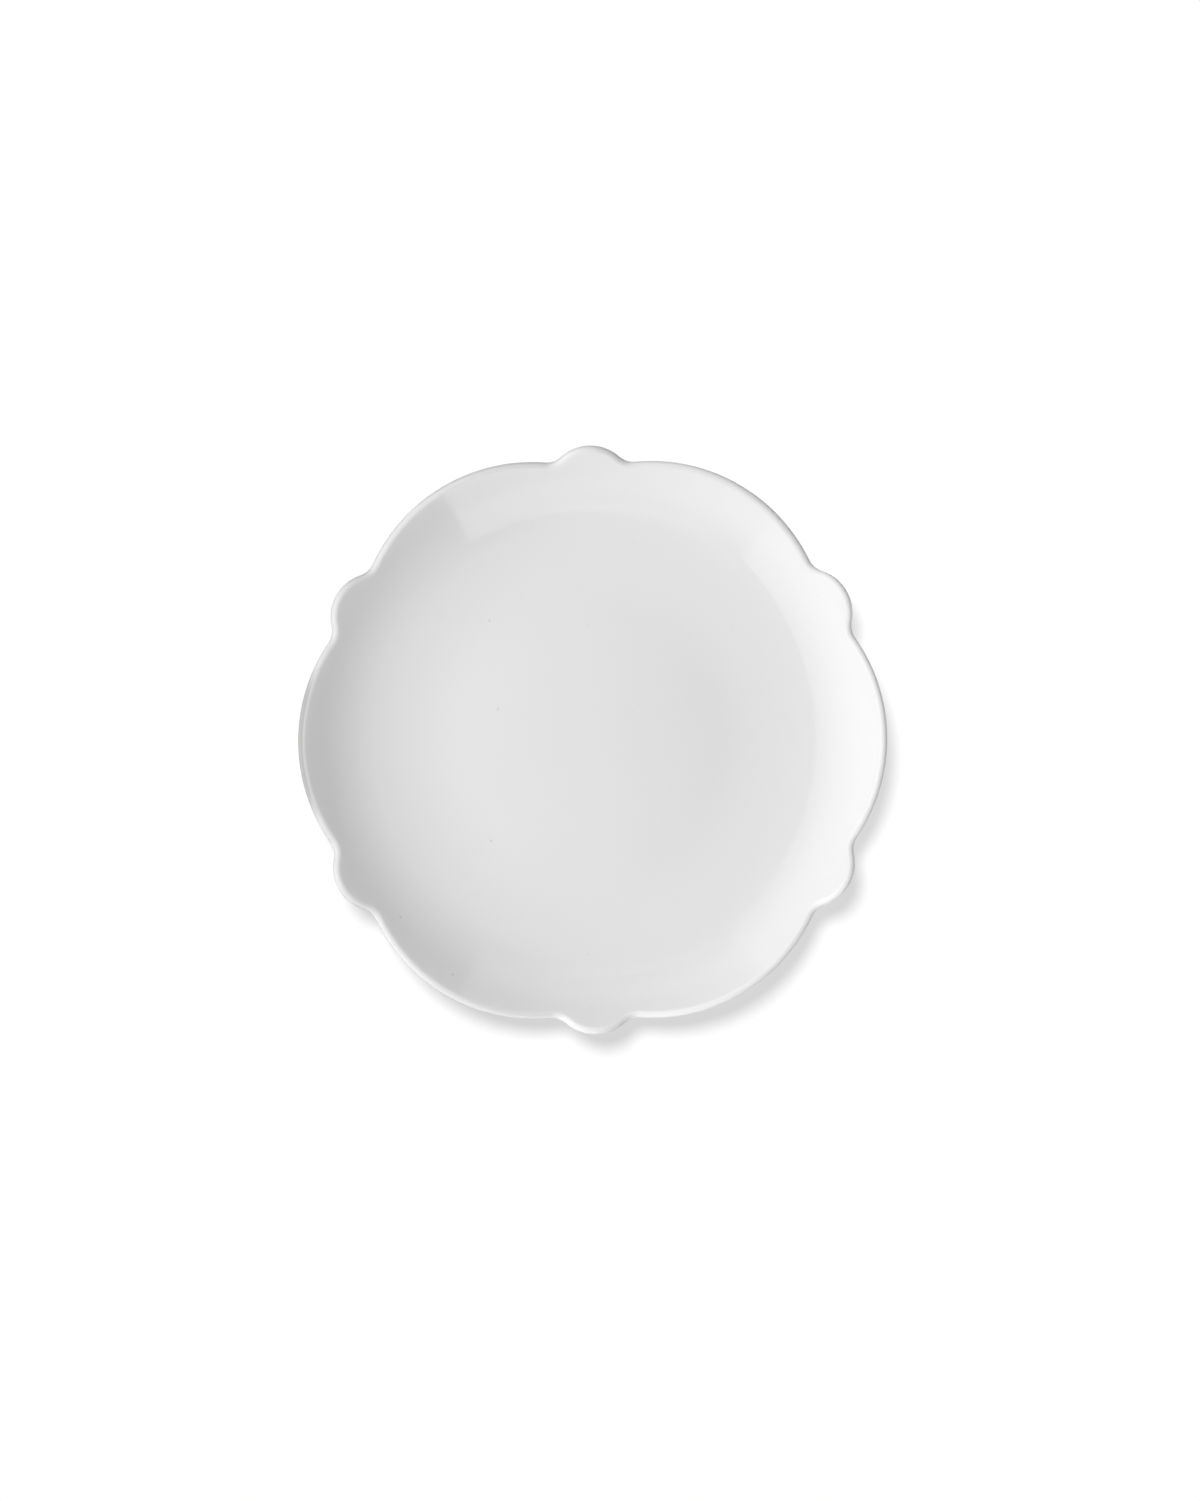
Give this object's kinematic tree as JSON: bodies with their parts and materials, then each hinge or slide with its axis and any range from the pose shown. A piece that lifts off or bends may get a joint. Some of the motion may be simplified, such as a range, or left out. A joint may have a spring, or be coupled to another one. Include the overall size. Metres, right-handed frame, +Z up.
{
  "type": "dessert plate",
  "caption": "Round coupe dessert plate with a scalloped rim of wide lobes and small knobs, on a low foot ring, in glazed white porcelain.",
  "frame": {"origin": "middle of the foot ring, on the surface that the plate stands on", "axes": "+Z up through the middle of the plate, +X through the peak of a lobe, +Y through the peak of a knob"},
  "size_m": [0.2, 0.2, 0.0183],
  "materials": {
    "porcelain": "bare fired porcelain, smooth and matt, seen only on the edge of the foot",
    "glaze": "clear gloss glaze over white porcelain"
  },
  "bodies": {
    "root": {"porcelain_body": "porcelain", "upper_glaze": "glaze", "base_glaze": "glaze"}
  },
  "joints": []
}
